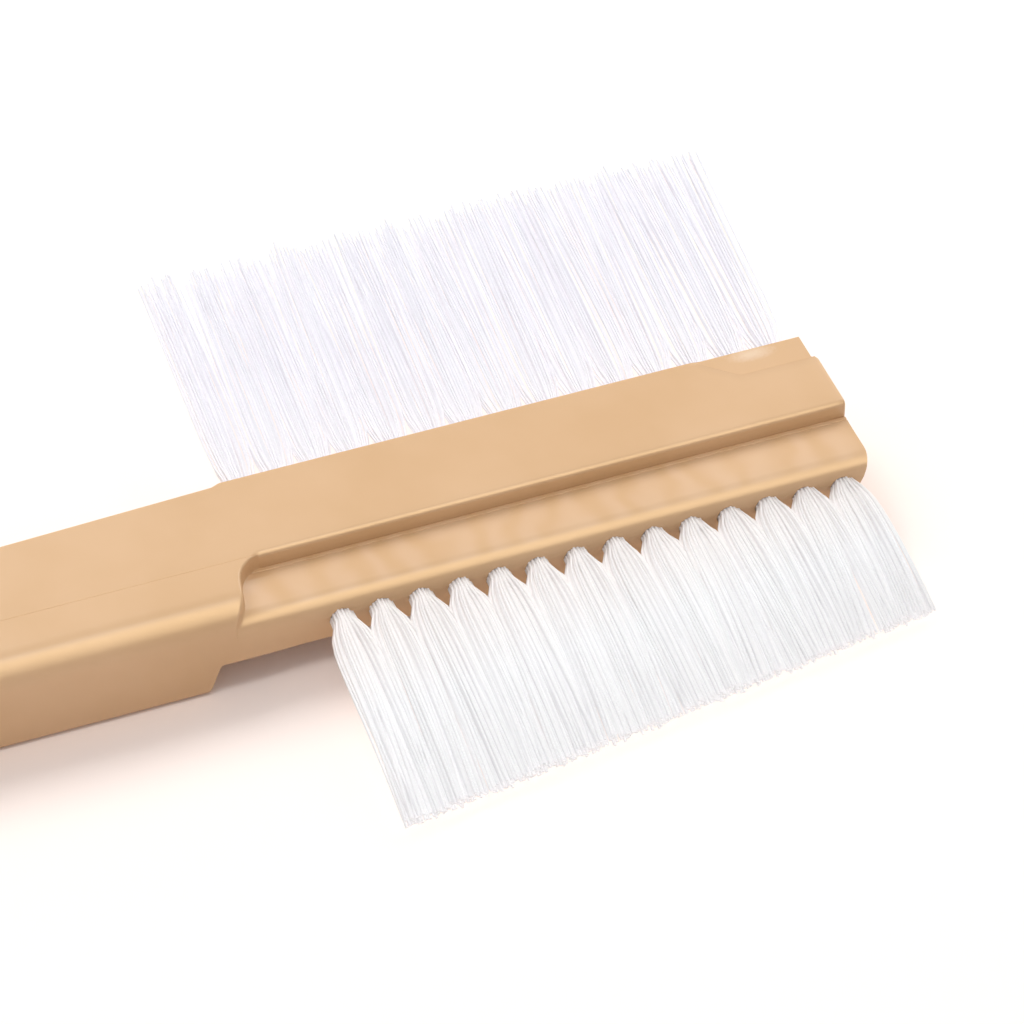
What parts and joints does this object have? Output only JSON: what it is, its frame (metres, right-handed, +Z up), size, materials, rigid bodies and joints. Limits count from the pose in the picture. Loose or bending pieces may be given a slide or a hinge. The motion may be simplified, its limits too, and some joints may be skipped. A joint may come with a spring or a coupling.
{
  "type": "detailing brush",
  "caption": "Flat hand brush with a straight handle and bristle tufts along both long edges of its head, one row long and sparse, the other short, dense and slant-trimmed",
  "frame": {"origin": "middle of the handle's flat underside", "axes": "+X from the handle to the head's free end, +Y out through the long row, +Z up from the surface that the handle lies on"},
  "size_m": [0.2214, 0.0957, 0.0135],
  "materials": {
    "tan_plastic": "fine satin moulding",
    "clear_filament": "clear drawn filament",
    "white_filament": "white drawn filament",
    "anchor_wire": "plated flat wire"
  },
  "bodies": {
    "root": {"far_half": "tan_plastic", "near_half": "tan_plastic", "far_bristle_row": "clear_filament", "near_bristle_row": "white_filament", "far_anchor_01": "anchor_wire", "far_anchor_02": "anchor_wire", "far_anchor_03": "anchor_wire", "far_anchor_04": "anchor_wire", "far_anchor_05": "anchor_wire", "far_anchor_06": "anchor_wire", "far_anchor_07": "anchor_wire", "far_anchor_08": "anchor_wire", "far_anchor_09": "anchor_wire", "far_anchor_10": "anchor_wire", "far_anchor_11": "anchor_wire", "far_anchor_12": "anchor_wire", "far_anchor_13": "anchor_wire", "far_anchor_14": "anchor_wire", "far_anchor_15": "anchor_wire", "near_anchor_01": "anchor_wire", "near_anchor_02": "anchor_wire", "near_anchor_03": "anchor_wire", "near_anchor_04": "anchor_wire", "near_anchor_05": "anchor_wire", "near_anchor_06": "anchor_wire", "near_anchor_07": "anchor_wire", "near_anchor_08": "anchor_wire", "near_anchor_09": "anchor_wire", "near_anchor_10": "anchor_wire", "near_anchor_11": "anchor_wire", "near_anchor_12": "anchor_wire", "near_anchor_13": "anchor_wire", "near_anchor_14": "anchor_wire"}
  },
  "joints": []
}
